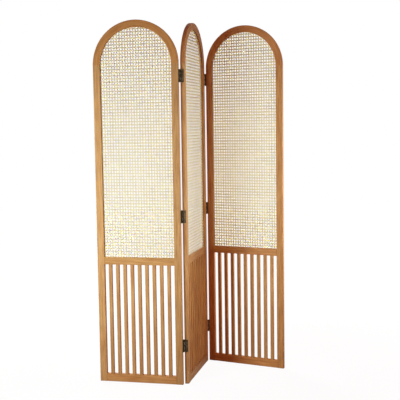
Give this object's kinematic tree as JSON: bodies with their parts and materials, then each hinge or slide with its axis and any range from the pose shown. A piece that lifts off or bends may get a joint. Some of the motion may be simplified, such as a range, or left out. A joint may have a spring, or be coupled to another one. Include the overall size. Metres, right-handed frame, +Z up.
{
  "type": "folding room screen",
  "caption": "Folding room screen of arched wooden panels with woven cane above and upright slats below, joined in a zigzag by butt hinges.",
  "frame": {"origin": "on the floor, at the centre of the box round the screen as it stands in its zigzag", "axes": "+Z up; the fronts of the outer panels face -Y, and the left and right panels lie towards -X and +X"},
  "size_m": [0.9954, 0.4761, 1.88],
  "materials": {
    "frame_wood": "satin",
    "slat_wood": "satin",
    "cane": "natural",
    "dowel_wood": "raw",
    "hinge_metal": "dark bronze, satin",
    "screw_metal": "dark bronze, satin"
  },
  "bodies": {
    "middle_panel": {"middle_panel_left_stile": "frame_wood", "middle_panel_right_stile": "frame_wood", "middle_panel_arch_rail": "frame_wood", "middle_panel_mid_rail": "frame_wood", "middle_panel_bottom_rail": "frame_wood", "middle_panel_slats": "slat_wood", "middle_panel_cane": "cane", "middle_panel_arch_bead": "frame_wood", "middle_panel_left_bead": "frame_wood", "middle_panel_right_bead": "frame_wood", "middle_panel_bottom_bead": "frame_wood", "middle_panel_dowels": "dowel_wood", "left_fold_lower_fixed_leaf": "hinge_metal", "left_fold_lower_pin": "hinge_metal", "left_fold_centre_fixed_leaf": "hinge_metal", "left_fold_centre_pin": "hinge_metal", "left_fold_upper_fixed_leaf": "hinge_metal", "left_fold_upper_pin": "hinge_metal", "right_fold_lower_fixed_leaf": "hinge_metal", "right_fold_lower_pin": "hinge_metal", "right_fold_centre_fixed_leaf": "hinge_metal", "right_fold_centre_pin": "hinge_metal", "right_fold_upper_fixed_leaf": "hinge_metal", "right_fold_upper_pin": "hinge_metal", "left_fold_fixed_screws": "screw_metal", "right_fold_fixed_screws": "screw_metal"},
    "left_panel": {"left_panel_left_stile": "frame_wood", "left_panel_right_stile": "frame_wood", "left_panel_arch_rail": "frame_wood", "left_panel_mid_rail": "frame_wood", "left_panel_bottom_rail": "frame_wood", "left_panel_slats": "slat_wood", "left_panel_cane": "cane", "left_panel_arch_bead": "frame_wood", "left_panel_left_bead": "frame_wood", "left_panel_right_bead": "frame_wood", "left_panel_bottom_bead": "frame_wood", "left_panel_dowels": "dowel_wood", "left_fold_lower_swing_leaf": "hinge_metal", "left_fold_centre_swing_leaf": "hinge_metal", "left_fold_upper_swing_leaf": "hinge_metal", "left_fold_swing_screws": "screw_metal"},
    "right_panel": {"right_panel_left_stile": "frame_wood", "right_panel_right_stile": "frame_wood", "right_panel_arch_rail": "frame_wood", "right_panel_mid_rail": "frame_wood", "right_panel_bottom_rail": "frame_wood", "right_panel_slats": "slat_wood", "right_panel_cane": "cane", "right_panel_arch_bead": "frame_wood", "right_panel_left_bead": "frame_wood", "right_panel_right_bead": "frame_wood", "right_panel_bottom_bead": "frame_wood", "right_panel_dowels": "dowel_wood", "right_fold_lower_swing_leaf": "hinge_metal", "right_fold_centre_swing_leaf": "hinge_metal", "right_fold_upper_swing_leaf": "hinge_metal", "right_fold_swing_screws": "screw_metal"}
  },
  "joints": [
    {"name": "left_fold", "type": "hinge", "parent": "middle_panel", "child": "left_panel", "pos_m": [-0.05121, -0.21634, 0], "axis": [0, 0, 1], "range_deg": [-91.6, 88.4]},
    {"name": "right_fold", "type": "hinge", "parent": "middle_panel", "child": "right_panel", "pos_m": [0.08081, 0.21881, 0], "axis": [0, 0, 1], "range_deg": [-78, 102]}
  ]
}
